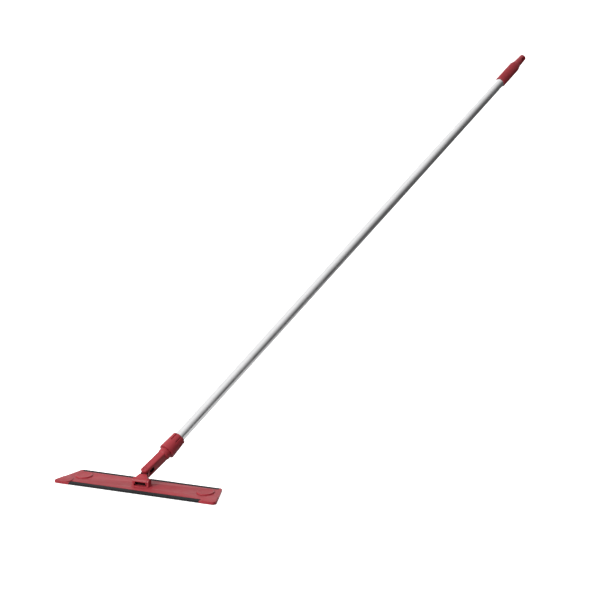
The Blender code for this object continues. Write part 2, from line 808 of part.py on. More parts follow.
def ribbed_outline():
    """The grip's section: a round bar with evenly spaced ribs."""
    points = []
    for rib in range(GRIP_RIBS):
        ridge = [(share, GRIP_R) for share in (0.0, GRIP_RIB_SHARE)]
        groove = [(share, GRIP_R - RIB_DEPTH) for share in GRIP_GROOVE]
        for share, radius in (*ridge, *groove):
            angle = 2 * math.pi * (rib + share) / GRIP_RIBS
            points.append((radius * math.cos(angle), radius * math.sin(angle)))
    return points


def hand_grip(line):
    """The ribbed sleeve on the pole's end, narrowing to a shoulder."""
    mesh = outline_mesh("hand_grip", ribbed_outline(), GRIP_LENGTH)
    mesh.transform(Matrix.Translation((0, 0, (GRIP_FOOT + GRIP_TOP) / 2)))
    grip = place(mesh, "hand_grip", RED, line)
    top_r = EYE_FOOT_R + RIB_DEPTH
    limit = [
        (0, GRIP_TOP),
        (top_r, GRIP_TOP),
        (GRIP_R - GRIP_SHOULDER_EDGE, GRIP_TOP - GRIP_SHOULDER * 0.7),
        (GRIP_R, GRIP_TOP - GRIP_SHOULDER),
        (GRIP_R, GRIP_FOOT + GRIP_EDGE),
        (GRIP_R - GRIP_EDGE, GRIP_FOOT),
        (0, GRIP_FOOT),
    ]
    boolean(grip, turn_round(place(turned("grip_limit", limit), "grip_limit", None, line)), "INTERSECT")
    bore_top = GRIP_FOOT + GRIP_OVERLAP + GAP
    bore_length = bore_top - GRIP_FOOT + OVER
    centre = (0, 0, bore_top - bore_length / 2)
    bore = rods("grip_bore", POLE_R + GAP, bore_length, centres=(centre,), sides=ROUND)
    seat_length = EYE_SPIGOT + 2 * GAP + OVER
    seat_centre = (0, 0, EYE_FOOT - EYE_SPIGOT - GAP + seat_length / 2)
    seat = rods("eye_seat", EYE_SPIGOT_R + GAP, seat_length, centres=(seat_centre,))
    cut(grip, place(bore, "grip_bore", None, line), place(seat, "eye_seat", None, line))
    smooth(grip)


def hanging_eye(line):
    """The tapered end piece pressed into the grip, flattened on two sides round its hanging hole."""
    profile = [
        (0, EYE_TOP),
        (EYE_TOP_R - EYE_EDGE, EYE_TOP),
        (EYE_TOP_R - EYE_EDGE / 4, EYE_TOP - EYE_EDGE / 3),
        (EYE_TOP_R, EYE_TOP - EYE_EDGE),
        (EYE_FOOT_R, EYE_FOOT),
        (EYE_SPIGOT_R, EYE_FOOT),
        (EYE_SPIGOT_R, EYE_FOOT - EYE_SPIGOT),
        (0, EYE_FOOT - EYE_SPIGOT),
    ]
    eye = turn_round(place(turned("hanging_eye", profile), "hanging_eye", RED, line))
    height = EYE_TOP - HOLE_DROP
    turn = hole_turn(line)
    for side in (-1, 1):
        name = f"eye_flat_{side}"
        centre = (side * (EYE_FLAT + THROUGH) / 2, 0, height)
        flat = rods(name, EYE_FLAT_R, THROUGH, "X", (centre,), sides=ROUND)
        cut(eye, place(flat, name, None, line, rotation=(0, 0, turn)))
    hole = rods("eye_hole", HOLE_R, THROUGH, "X", ((0, 0, height),), sides=ROUND)
    cut(eye, place(hole, "eye_hole", None, line, rotation=(0, 0, turn)))


def hole_turn(line):
    """The turn about the pole that lays the hanging hole level."""
    bpy.context.view_layer.update()
    axes = line.matrix_world.to_3x3()
    along = axes.col[2]
    level = along.cross((0, 0, 1)).normalized()
    return math.atan2(level.dot(axes.col[1]), level.dot(axes.col[0]))


def main():
    base_plate()
    edge_strip("front_edge_strip", FRONT_STRIP_LENGTH, FRONT_STRIP_WIDTH, -1)
    edge_strip("rear_edge_strip", REAR_STRIP_LENGTH, REAR_STRIP_WIDTH, 1)
    tape_strip("hook_tape_front", -TAPE_OFFSET)
    tape_strip("hook_tape_middle", 0)
    tape_strip("hook_tape_rear", TAPE_OFFSET)
    round_cap("left_round_cap", -1)
    round_cap("right_round_cap", 1)
    hinge_bracket()
    bracket_screws()
    pivot = (0, PIVOT_Y, PIVOT_HEIGHT)
    headed_pin("lower_pin", None, pivot, EAR_OUTER, SIDEWAYS)
    pin_ring("lower_pin_ring", None, pivot, EAR_OUTER, SIDEWAYS)
    lower = hinge_frame("lower_hinge", None, pivot, (-BLOCK_LEAN, 0, 0))
    upper = hinge_frame("upper_hinge", lower, (0, 0, NECK), (0, ARM_TILT, 0))
    line = hinge_frame("pole_axis", upper, (0, ARM_OFFSET, 0), (0, 0, 0))
    cross_block(lower)
    arm(upper, line)
    headed_pin("upper_pin", upper, (0, 0, 0), ARM_THICK / 2, CROSSWISE)
    pin_ring("upper_pin_ring", upper, (0, 0, 0), ARM_THICK / 2, CROSSWISE)
    locking_collar(line)
    pole(line)
    hand_grip(line)
    hanging_eye(line)


main()
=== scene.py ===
"""Flat mop: the finished surfaces, materials, floor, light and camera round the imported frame."""

import json
import math

import bmesh
import bpy
import numpy as np
from bpy.props import FloatProperty, FloatVectorProperty, IntProperty, PointerProperty
from mathutils import Matrix, Vector


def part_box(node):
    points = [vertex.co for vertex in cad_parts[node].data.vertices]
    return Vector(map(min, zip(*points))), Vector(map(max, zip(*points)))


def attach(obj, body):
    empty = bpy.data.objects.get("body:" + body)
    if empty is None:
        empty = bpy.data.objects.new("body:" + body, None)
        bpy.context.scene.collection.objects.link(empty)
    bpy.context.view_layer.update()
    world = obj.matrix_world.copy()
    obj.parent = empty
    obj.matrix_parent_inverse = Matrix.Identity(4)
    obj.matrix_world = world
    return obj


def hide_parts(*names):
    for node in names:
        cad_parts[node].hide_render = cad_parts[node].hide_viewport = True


bl_info = {
    "name": "Flat Mop",
    "version": (1, 0, 0),
    "blender": (4, 5, 0),
    "location": "View3D > Sidebar > Flat Mop",
    "description": "Builds the surfaces and finishes of a flat mop on its packed frame",
    "category": "Add Mesh",
}

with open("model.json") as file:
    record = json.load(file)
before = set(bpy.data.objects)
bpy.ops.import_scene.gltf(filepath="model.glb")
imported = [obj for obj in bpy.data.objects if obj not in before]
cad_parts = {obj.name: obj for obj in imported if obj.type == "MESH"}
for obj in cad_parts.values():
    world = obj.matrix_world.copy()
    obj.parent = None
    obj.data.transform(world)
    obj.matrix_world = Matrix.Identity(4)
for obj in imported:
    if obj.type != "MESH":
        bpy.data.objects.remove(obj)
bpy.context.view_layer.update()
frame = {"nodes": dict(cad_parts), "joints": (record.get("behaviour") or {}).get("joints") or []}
NODES = frame["nodes"]
JOINTS = {joint["name"]: joint for joint in frame["joints"]}

MM = 0.001
TWO_PI = 2 * math.pi
MERGE_DISTANCE = 0.002 * MM
BEVEL_SEGMENTS = 3
BEVEL_ANGLE = math.radians(38)
FLAT_ANGLE = math.radians(1)

# How finely each piece is drawn: points round it, rings along it, or points to a flute, rib or hook
CAP_SIDES = 128
PIN_SIDES = 64
POLE_SIDES = 96
PAPER_SIDES = 64
FLUTE_SIDES = 40
RIB_SIDES = 16
STRIP_RINGS = 41
HOOK_STEPS = 4

# The joint's pins and the handle's own axes: along the pole, across the fork, and to its side
LOWER_PIN = np.array(JOINTS["head_pitch"]["pos_m"])
UPPER_PIN = np.array(JOINTS["arm_tilt"]["pos_m"])
POLE_AXIS = -np.array(JOINTS["pole_slide"]["axis"])
FORK_AXIS = np.array(JOINTS["arm_tilt"]["axis"])
SIDE_AXIS = np.cross(FORK_AXIS, POLE_AXIS)
HANDLE_AXES = (SIDE_AXIS, FORK_AXIS, POLE_AXIS)
# The point of the pole's line nearest the upper pin. The line runs a little behind the pin.
COLLAR_MIDDLE = np.array(JOINTS["collar_twist"]["pos_m"])
POLE_ORIGIN = COLLAR_MIDDLE - POLE_AXIS * np.dot(COLLAR_MIDDLE - UPPER_PIN, POLE_AXIS)
X_AXIS = np.array([1.0, 0.0, 0.0])
Y_AXIS = np.array([0.0, 1.0, 0.0])
Z_AXIS = np.array([0.0, 0.0, 1.0])

# Head, in millimetres on the frame's axes
HEAD_TOP = 5.0
HEAD_BOTTOM = 0.6
REAR_EDGE = 45.5
FRONT_STRIP = (159.0, 12.0)
REAR_STRIP = (168.0, 10.0)
STRIP_WALL = 1.3
STRIP_NOSE = 1.5
STRIP_LIP = 7.0
STRIP_END_R = 0.5
HOOK_HEIGHT = 0.45
CAP_PLACES = (-150.0, 150.0)
CAP_Y = 9.0
CAP_R = 19.5
CAP_TOP = 7.4
CAP_FOOT = 3.5

# Joint pins, in millimetres
EAR_REACH = 20.0
FORK_REACH = 11.8
PIN_R = 3.0
PIN_HEAD_R = 4.6
PIN_HEAD_THICK = 1.2
PIN_DOME = 0.35
PIN_SHORT = 0.3
RING_GAP = 0.15

# The barrel on the lower pin, and the slot between the arm's cheeks, in millimetres. They bound the faces
# given painted shade.
BARREL_R = 8.0
BARREL_REACH = 13.0
SLOT_REACH = 4.9
SLOT_TOP = 17.7
TONGUE_HALF = 4.5
TONGUE_FOOT = 14.7
RECESS_SKIN = 0.4
FACE_GAP = 0.2

# Handle, in millimetres along the pole from the upper pin
COLLAR = (70.5, 115.5)
COLLAR_FOOT_R = 19.1
COLLAR_TOP_R = 16.2
COLLAR_BORE = 13.95
COLLAR_CONE = 84.0
COLLAR_CONE_TOP = 106.3
COLLAR_CONE_R = 13.15
COLLAR_LIP = 6.0
COLLAR_LIP_R = 12.05
FLUTE_FLAT = 1.2
FLUTE_WALL = 1.9
FLUTE_RUN = 3.0
POLE = (62.3, 1596.3)
POLE_R = 11.75
POLE_WALL = 1.2
GRIP = (1525.3, 1611.3)
GRIP_R = 14.2
GRIP_SHOULDER = 12.0
GRIP_BORE_TOP = 1596.6
GRIP_GAP = 0.3
EYE_SOCKET_R = 6.8
EYE_FOOT_R = 10.4


def linear(code):
    """The linear colour of an sRGB hex code.

    Each part up to 0.04045 is divided by 12.92. Above that it is (part + 0.055) / 1.055 to the 2.4.
    """
    parts = np.array([int(code[i : i + 2], 16) for i in (1, 3, 5)]) / 255
    curved = ((parts + 0.055) / 1.055) ** 2.4
    return tuple(float(part) for part in np.where(parts <= 0.04045, parts / 12.92, curved))


class MopSizes(bpy.types.PropertyGroup):
    """Sizes of the finish that the frame leaves open."""

    edge_radius: FloatProperty(
        name="Edge radius",
        description="Radius of the moulded pieces' edges",
        default=0.6 * MM,
        min=0.1 * MM,
        max=1.2 * MM,
        unit="LENGTH",
    )
    grip_ribs: IntProperty(
        name="Grip ribs",
        description="Number of ribs round the hand grip",
        default=22,
        min=8,
        max=40,
    )
    rib_depth: FloatProperty(
        name="Rib depth",
        description="Depth of the grooves between the grip's ribs",
        default=0.9 * MM,
        min=0.2 * MM,
        max=1.4 * MM,
        unit="LENGTH",
    )
    collar_flutes: IntProperty(
        name="Collar flutes",
        description="Number of finger flutes at the collar's upper end",
        default=8,
        min=3,
        max=16,
    )
    flute_depth: FloatProperty(
        name="Flute depth",
        description="Depth of each finger flute",
        default=2.1 * MM,
        min=0.2 * MM,
        max=2.4 * MM,
        unit="LENGTH",
    )
    flute_length: FloatProperty(
        name="Flute length",
        description="Length of each finger flute down from the collar's upper end",
        default=21 * MM,
        min=8 * MM,
        max=40 * MM,
        unit="LENGTH",
    )
    hook_pitch: FloatProperty(
        name="Hook pitch",
        description="Distance between rows of hooks on the tape",
        default=1.5 * MM,
        min=1.0 * MM,
        max=4.0 * MM,
        unit="LENGTH",
    )


class MopColours(bpy.types.PropertyGroup):
    """Base colours of the materials."""

    red_plastic: FloatVectorProperty(
        name="Red plastic",
        description="Colour of the moulded head, joint, collar and grip",
        default=linear("#9F3039"),
        subtype="COLOR",
        size=3,
        min=0,
        max=1,
    )
    soft_strip: FloatVectorProperty(
        name="Soft strip",
        description="Colour of the edge strips",
        default=linear("#1B1B1E"),
        subtype="COLOR",
        size=3,
        min=0,
        max=1,
    )
    hook_tape: FloatVectorProperty(
        name="Hook tape",
        description="Colour of the nylon hook tape",
        default=linear("#202023"),
        subtype="COLOR",
        size=3,
        min=0,
        max=1,
    )
    pole_metal: FloatVectorProperty(
        name="Pole metal",
        description="Colour of the anodised aluminium tube",
        default=linear("#F0F0F1"),
        subtype="COLOR",
        size=3,
        min=0,
        max=1,
    )
    screw_metal: FloatVectorProperty(
        name="Screw metal",
        description="Colour of the zinc plated screws",
        default=linear("#C9C9C4"),
        subtype="COLOR",
        size=3,
        min=0,
        max=1,
    )


# ---------------------------------------------------------------- surfaces


def rounded_loop(corners, reach, steps=6):
    """A closed outline with soft corners.

    Each corner becomes the parabola that starts a reach before it and ends a reach after it:
    (1-t)^2 times the start, 2t(1-t) times the corner and t^2 times the end. The reach is at most
    0.45 of the shorter side.
    """
    corners = np.asarray(corners, float)
    before = np.roll(corners, 1, axis=0) - corners
    after = np.roll(corners, -1, axis=0) - corners
    lengths = np.minimum(np.hypot(*before.T), np.hypot(*after.T))
    reach = np.minimum(np.broadcast_to(reach, lengths.shape), 0.45 * lengths)[:, None]
    start = corners + before / np.hypot(*before.T)[:, None] * reach
    end = corners + after / np.hypot(*after.T)[:, None] * reach
    t = np.linspace(0, 1, steps)[None, :, None]
    loop = (1 - t) ** 2 * start[:, None] + 2 * t * (1 - t) * corners[:, None] + t**2 * end[:, None]
    return loop.reshape(-1, 2)


def dense(points, spacing):
    """The open outline with points added so that none are further apart than the spacing."""
    points = np.asarray(points, float)
    steps = np.hypot(*np.diff(points, axis=0).T)
    along = np.concatenate([[0], np.cumsum(steps)])
    counts = np.maximum(1, np.ceil(steps / spacing)).astype(int)
    starts = np.repeat(along[:-1], counts)
    number = np.arange(counts.sum()) - np.repeat(np.cumsum(counts) - counts, counts)
    places = np.append(starts + np.repeat(steps / counts, counts) * number, along[-1])
    return np.stack([np.interp(places, along, points[:, axis]) for axis in (0, 1)], axis=1)


def smooth_step(values, low, high):
    """0 up to low and 1 from high, as 3t^2 - 2t^3 between them."""
    t = np.clip((values - low) / (high - low), 0, 1)
    return t * t * (3 - 2 * t)


def placed(local, origin, axes):
    """Local millimetres to metres in the frame: origin plus x, y and z times the three axes."""
    return np.asarray(origin) + local @ np.stack(axes) * MM


def grid_quads(rows, columns, loop_rows, loop_columns):
    """The four corners of every cell of a grid of points, wrapped round where asked."""
    i = np.arange(rows if loop_rows else rows - 1)[:, None]
    j = np.arange(columns if loop_columns else columns - 1)[None, :]
    down = (i + 1) % rows
    right = (j + 1) % columns
    corners = (i * columns + j, i * columns + right, down * columns + right, down * columns + j)
    return np.stack(np.broadcast_arrays(*corners), axis=-1).reshape(-1, 4)


def finished(name, points, quads, material, body, stands_for, sharp=35):
    """The piece as a mesh object at the origin, its doubles merged and its faces turned outwards."""
    mesh = bpy.data.meshes.new(name)
    mesh.vertices.add(len(points))
    mesh.vertices.foreach_set("co", np.ascontiguousarray(points, np.float32).ravel())
    mesh.loops.add(quads.size)
    mesh.loops.foreach_set("vertex_index", np.ascontiguousarray(quads, np.int32).ravel())
    mesh.polygons.add(len(quads))
    mesh.polygons.foreach_set("loop_start", np.arange(0, quads.size, 4, dtype=np.int32))
    mesh.update(calc_edges=True)
    shape = bmesh.new()
    shape.from_mesh(mesh)
    bmesh.ops.remove_doubles(shape, verts=shape.verts, dist=MERGE_DISTANCE)
    bmesh.ops.recalc_face_normals(shape, faces=shape.faces)
    shape.to_mesh(mesh)
    shape.free()
    return dressed(bpy.data.objects.new(name, mesh), material, body, stands_for, sharp)


def dressed(piece, material, body, stands_for, sharp=35):
    """The piece linked, smooth shaded between its sharp edges, and declared to the frame."""
    bpy.context.scene.collection.objects.link(piece)
    piece.data.materials.clear()
    piece.data.materials.append(material)
    piece.data.shade_smooth()
    piece.data.set_sharp_from_angle(angle=math.radians(sharp))
    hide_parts(*stands_for)
    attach(piece, body)
    return piece


def capped(piece):
    """Fills each open end of the piece's mesh with a flat, and turns all its faces outwards."""
    shape = bmesh.new()
    shape.from_mesh(piece.data)
    rims = [edge for edge in shape.edges if edge.is_boundary]
    bmesh.ops.holes_fill(shape, edges=rims, sides=0)
    bmesh.ops.recalc_face_normals(shape, faces=shape.faces)
    shape.to_mesh(piece.data)
    shape.free()


def met_on_axis(profile):
    """The profile with each point that is within 0.02 mm of the axis put on it."""
    profile[profile[:, 0] < 0.02] *= (0, 1)
    return profile


def turned(profile, sides, origin, axes, shrink=None, closed=True):
    """A turned surface as points and quads.

    The point at turn a and profile point (r, h) is r cos a along the first axis, r sin a along the
    second and h along the third. Where shrink is given, r is first less shrink(a, h, r).
    """
    turn = np.arange(sides)[:, None] * TWO_PI / sides
    radius, height = np.asarray(profile, float).T[:, None, :]
    turn, radius, height = np.broadcast_arrays(turn, radius, height)
    if shrink:
        radius = radius - shrink(turn, height, radius)
    local = np.stack([radius * np.cos(turn), radius * np.sin(turn), height], axis=-1)
    quads = grid_quads(sides, local.shape[1], True, closed)
    return placed(local.reshape(-1, 3), origin, axes), quads


def softened(name, node, radius, material, body):
    """The frame's own solid with its edges rounded: a merged copy, its flats joined, and bevelled."""
    mesh = NODES[node].data.copy()
    mesh.name = name
    shape = bmesh.new()
    shape.from_mesh(mesh)
    bmesh.ops.remove_doubles(shape, verts=shape.verts, dist=MERGE_DISTANCE)
    bmesh.ops.dissolve_limit(shape, angle_limit=FLAT_ANGLE, verts=shape.verts, edges=shape.edges)
    shape.to_mesh(mesh)
    shape.free()
    piece = dressed(bpy.data.objects.new(name, mesh), material, body, [node], 60)
    bevel = piece.modifiers.new("edge_radius", "BEVEL")
    bevel.width = radius
    bevel.segments = BEVEL_SEGMENTS
    bevel.limit_method = "ANGLE"
    bevel.angle_limit = BEVEL_ANGLE
    bevel.use_clamp_overlap = True
    bevel.miter_outer = "MITER_ARC"
    bevel.harden_normals = True
    return piece


# ---------------------------------------------------------------- materials


def add(tree, kind, inputs=None, **settings):
    """A node of that kind with its settings. An input takes a number, a colour or a node's output."""
    node = tree.nodes.new(kind)
    for key, value in settings.items():
        setattr(node, key, value)
    for key, value in (inputs or {}).items():
        if isinstance(value, bpy.types.NodeSocket):
            tree.links.new(value, node.inputs[key])
        else:
            node.inputs[key].default_value = value
    return node


def shader_of(name):
    """A fresh material's tree, its shader and the object's coordinates."""
    material = bpy.data.materials.new(name)
    material.use_nodes = True
    tree = material.node_tree
    place = add(tree, "ShaderNodeTexCoord").outputs["Object"]
    return material, tree, tree.nodes["Principled BSDF"], place


def colours():
    """The colours that the panel shows."""
    return bpy.context.scene.mop_colours


def ramp_of(tree, factor, *stops):
    """A colour ramp between grey levels or colours, as (position, colour) stops."""
    ramp = add(tree, "ShaderNodeValToRGB", {"Fac": factor})
    for element, (position, colour) in zip(ramp.color_ramp.elements, stops):
        element.position = position
        element.color = (*colour, 1)
    return ramp.outputs["Color"]


def shade(colour, factor):
    """The colour times the factor, each part at most 1."""
    return tuple(min(1.0, part * factor) for part in colour)


def red_polypropylene():
    """Injection moulded polypropylene: one even red with a soft sheen from a spark-eroded mould."""
    name = "red_moulded_polypropylene"
    if name in bpy.data.materials:
        return bpy.data.materials[name]
    material, tree, shader, place = shader_of(name)
    base = tuple(colours().red_plastic)
    # Slow differences in the melt, some 60 mm across
    flow = add(tree, "ShaderNodeTexNoise", {"Vector": place, "Scale": 16.0, "Detail": 3.0})
    body = ramp_of(tree, flow.outputs["Fac"], (0.3, shade(base, 0.93)), (0.7, shade(base, 1.06)))
    # Rubbed patches, some 12 mm across, lighter and duller
    rub = add(tree, "ShaderNodeTexNoise", {"Vector": place, "Scale": 85.0, "Detail": 5.0, "Roughness": 0.62})
    worn = ramp_of(tree, rub.outputs["Fac"], (0.56, (0, 0, 0)), (0.8, (0.35, 0.35, 0.35)))
    mixed = add(
        tree,
        "ShaderNodeMix",
        {"Factor": worn, "A": body, "B": (*shade(base, 1.25), 1)},
        data_type="RGBA",
    )
    tree.links.new(mixed.outputs["Result"], shader.inputs["Base Color"])
    # Mould grain of 0.3 mm, drawn 0.9 mm coarse so that it shows
    grain = add(tree, "ShaderNodeTexNoise", {"Vector": place, "Scale": 1100.0, "Detail": 2.0})
    rough = add(
        tree,
        "ShaderNodeMapRange",
        {"Value": rub.outputs["Fac"], "From Min": 0.3, "From Max": 0.75, "To Min": 0.38, "To Max": 0.52},
    )
    tree.links.new(rough.outputs["Result"], shader.inputs["Roughness"])
    relief = add(
        tree,
        "ShaderNodeBump",
        {"Height": grain.outputs["Fac"], "Strength": 0.16, "Distance": 0.05 * MM},
    )
    tree.links.new(relief.outputs["Normal"], shader.inputs["Normal"])
    shader.inputs["IOR"].default_value = 1.49
    shader.inputs["Specular IOR Level"].default_value = 0.3
    return material


def grimed_polypropylene():
    """The same moulded polypropylene, nearly black: painted shade for the joint's recesses."""
    name = "grimed_polypropylene"
    if name in bpy.data.materials:
        return bpy.data.materials[name]
    material, tree, shader, place = shader_of(name)
    base = tuple(colours().red_plastic)
    # Painted shade, uneven in blotches some 3 mm across
    shade_blotches = add(tree, "ShaderNodeTexNoise", {"Vector": place, "Scale": 330.0, "Detail": 4.0})
    colour = ramp_of(tree, shade_blotches.outputs["Fac"], (0.3, shade(base, 0.02)), (0.75, shade(base, 0.12)))
    tree.links.new(colour, shader.inputs["Base Color"])
    shader.inputs["Roughness"].default_value = 0.85
    shader.inputs["Specular IOR Level"].default_value = 0.15
    shader.inputs["IOR"].default_value = 1.49
    return material


def soft_elastomer():
    """Extruded thermoplastic elastomer: charcoal, matt, with a fine drag along its length."""
    name = "charcoal_extruded_elastomer"
    if name in bpy.data.materials:
        return bpy.data.materials[name]
    material, tree, shader, place = shader_of(name)
    base = tuple(colours().soft_strip)
    # Drag lines of the die, stretched twenty to one along X
    drawn = add(tree, "ShaderNodeMapping", {"Vector": place, "Scale": (30.0, 600.0, 600.0)})
    lines = add(tree, "ShaderNodeTexNoise", {"Vector": drawn.outputs["Vector"], "Scale": 1.0, "Detail": 3.0})
    dust = add(tree, "ShaderNodeTexNoise", {"Vector": place, "Scale": 60.0, "Detail": 6.0, "Roughness": 0.7})
    tone = add(
        tree,
        "ShaderNodeMath",
        {0: lines.outputs["Fac"], 1: dust.outputs["Fac"]},
        operation="MULTIPLY",
    )
    colour = ramp_of(tree, tone.outputs["Value"], (0.12, shade(base, 0.8)), (0.42, shade(base, 1.3)))
    tree.links.new(colour, shader.inputs["Base Color"])
    rough = add(
        tree,
        "ShaderNodeMapRange",
        {"Value": dust.outputs["Fac"], "From Min": 0.3, "From Max": 0.7, "To Min": 0.62, "To Max": 0.8},
    )
    tree.links.new(rough.outputs["Result"], shader.inputs["Roughness"])
    relief = add(
        tree,
        "ShaderNodeBump",
        {"Height": lines.outputs["Fac"], "Strength": 0.2, "Distance": 0.05 * MM},
    )
    tree.links.new(relief.outputs["Normal"], shader.inputs["Normal"])
    shader.inputs["IOR"].default_value = 1.5
    shader.inputs["Specular IOR Level"].default_value = 0.22
    return material


def woven_nylon():
    """Woven nylon hook tape: near black, with the weave of its ground under the hooks."""
    name = "black_woven_hook_nylon"
    if name in bpy.data.materials:
        return bpy.data.materials[name]
    material, tree, shader, place = shader_of(name)
    base = tuple(colours().hook_tape)
    # Warp and weft at 0.5 mm, drawn 1.0 mm coarse so that they show
    warp = add(
        tree,
        "ShaderNodeTexWave",
        {"Vector": place, "Scale": 160.0, "Distortion": 0.6},
        bands_direction="X",
    )
    weft = add(
        tree,
        "ShaderNodeTexWave",
        {"Vector": place, "Scale": 160.0, "Distortion": 0.6},
        bands_direction="Y",
    )
    weave = add(
        tree,
        "ShaderNodeMath",
        {0: warp.outputs["Fac"], 1: weft.outputs["Fac"]},
        operation="MULTIPLY",
    )
    colour = ramp_of(tree, weave.outputs["Value"], (0.1, shade(base, 0.6)), (0.8, shade(base, 1.6)))
    tree.links.new(colour, shader.inputs["Base Color"])
    relief = add(
        tree,
        "ShaderNodeBump",
        {"Height": weave.outputs["Value"], "Strength": 0.5, "Distance": 0.15 * MM},
    )
    tree.links.new(relief.outputs["Normal"], shader.inputs["Normal"])
    shader.inputs["Roughness"].default_value = 0.6
    shader.inputs["IOR"].default_value = 1.53
    shader.inputs["Sheen Weight"].default_value = 0.2
    return material


def anodised_aluminium():
    """Drawn and satin anodised aluminium tube: bright, with fine lines along its length."""
    name = "satin_anodised_aluminium"
    if name in bpy.data.materials:
        return bpy.data.materials[name]
    material, tree, shader, place = shader_of(name)
    base = tuple(colours().pole_metal)
    # The tube's own axes, so that the draw lines run along it
    turn = Matrix([SIDE_AXIS, FORK_AXIS, POLE_AXIS]).to_euler("XYZ")
    own = add(tree, "ShaderNodeMapping", {"Vector": place, "Rotation": tuple(turn)})
    stretched = add(
        tree,
        "ShaderNodeMapping",
        {"Vector": own.outputs["Vector"], "Scale": (900.0, 900.0, 6.0)},
    )
    # Draw lines of 0.2 mm, drawn 1.1 mm coarse so that they show
    lines = add(
        tree,
        "ShaderNodeTexNoise",
        {"Vector": stretched.outputs["Vector"], "Scale": 1.0, "Detail": 4.0, "Roughness": 0.6},
    )
    smear = add(
        tree,
        "ShaderNodeTexNoise",
        {"Vector": place, "Scale": 22.0, "Detail": 5.0, "Roughness": 0.65},
    )
    colour = ramp_of(tree, smear.outputs["Fac"], (0.3, shade(base, 0.94)), (0.7, shade(base, 1.03)))
    tree.links.new(colour, shader.inputs["Base Color"])
    rough = add(
        tree,
        "ShaderNodeMapRange",
        {"Value": smear.outputs["Fac"], "From Min": 0.3, "From Max": 0.7, "To Min": 0.2, "To Max": 0.32},
    )
    tree.links.new(rough.outputs["Result"], shader.inputs["Roughness"])
    relief = add(
        tree,
        "ShaderNodeBump",
        {"Height": lines.outputs["Fac"], "Strength": 0.12, "Distance": 0.02 * MM},
    )
    tree.links.new(relief.outputs["Normal"], shader.inputs["Normal"])
    shader.inputs["Metallic"].default_value = 1.0
    return material


def zinc_plate():
    """Cold headed steel, zinc plated: pale, with a faint bloom that changes over a few millimetres."""
    name = "zinc_plated_steel"
    if name in bpy.data.materials:
        return bpy.data.materials[name]
    material, tree, shader, place = shader_of(name)
    base = tuple(colours().screw_metal)
    bloom = add(tree, "ShaderNodeTexNoise", {"Vector": place, "Scale": 400.0, "Detail": 4.0})
    colour = ramp_of(tree, bloom.outputs["Fac"], (0.3, shade(base, 0.82)), (0.7, shade(base, 1.02)))
    tree.links.new(colour, shader.inputs["Base Color"])
    rough = add(
        tree,
        "ShaderNodeMapRange",
        {"Value": bloom.outputs["Fac"], "From Min": 0.3, "From Max": 0.7, "To Min": 0.26, "To Max": 0.42},
    )
    tree.links.new(rough.outputs["Result"], shader.inputs["Roughness"])
    shader.inputs["Metallic"].default_value = 1.0
    return material


# ---------------------------------------------------------------- pieces


def sizes():
    """The sizes that the panel shows."""
    return bpy.context.scene.mop_sizes


class MOP_OT_head_plate(bpy.types.Operator):
    """Build the moulded head plate with rounded edges"""

    bl_idname = "mop.head_plate"
    bl_label = "Head Plate"

    def execute(self, context):
        softened(
            "head_plate", "base_plate", sizes().edge_radius, red_polypropylene(), "head"
        )
        return {"FINISHED"}


def edge_strip(name, node, half_length, width, side):
    """A C-shaped soft strip: a rounded section carried along X, drawn in a little at both ends.

    The point at x and section point (d, h) lies at y = side (45.5 - d), z = h. Near each end the
    section draws in along its own normals, as a quarter circle of 0.5 mm, and a flat closes it.
    """
    section = rounded_loop(
        [
            (0, HEAD_BOTTOM),
            (STRIP_LIP, HEAD_BOTTOM),
            (STRIP_LIP, HEAD_BOTTOM + STRIP_WALL),
            (STRIP_NOSE, HEAD_BOTTOM + STRIP_WALL),
            (STRIP_NOSE, HEAD_TOP - STRIP_WALL),
            (width, HEAD_TOP - STRIP_WALL),
            (width, HEAD_TOP),
            (0, HEAD_TOP),
        ],
        [1.1, 0.4, 0.4, 0.3, 0.3, 0.4, 0.6, 1.1],
    )
    quarter = np.linspace(0, math.pi / 2, 5)
    inset = STRIP_END_R * (1 - np.sin(quarter))
    back = STRIP_END_R * (1 - np.cos(quarter))
    straight = half_length - STRIP_END_R
    runs = np.linspace(-straight, straight, STRIP_RINGS)[1:-1]
    x = np.concatenate([-half_length + back, runs, (half_length - back)[::-1]])
    inset = np.concatenate([inset, np.zeros(len(runs)), inset[::-1]])
    normal = np.roll(section, -1, axis=0) - np.roll(section, 1, axis=0)
    normal = np.stack([-normal[:, 1], normal[:, 0]], axis=1) / np.hypot(*normal.T)[:, None]
    rings = section[None] + normal[None] * inset[:, None, None]
    rows, columns = rings.shape[:2]
    local = np.empty((rows, columns, 3))
    local[..., 0] = x[:, None]
    local[..., 1] = side * (REAR_EDGE - rings[..., 0])
    local[..., 2] = rings[..., 1]
    quads = grid_quads(rows, columns, False, True)
    points = placed(local.reshape(-1, 3), np.zeros(3), (X_AXIS, Y_AXIS, Z_AXIS))
    capped(finished(name, points, quads, soft_elastomer(), "head", [node]))


class MOP_OT_edge_strips(bpy.types.Operator):
    """Build the soft strips along the head's front and rear edges"""

    bl_idname = "mop.edge_strips"
    bl_label = "Edge Strips"

    def execute(self, context):
        edge_strip("front_soft_strip", "front_edge_strip", *FRONT_STRIP, -1)
        edge_strip("rear_soft_strip", "rear_edge_strip", *REAR_STRIP, 1)
        return {"FINISHED"}


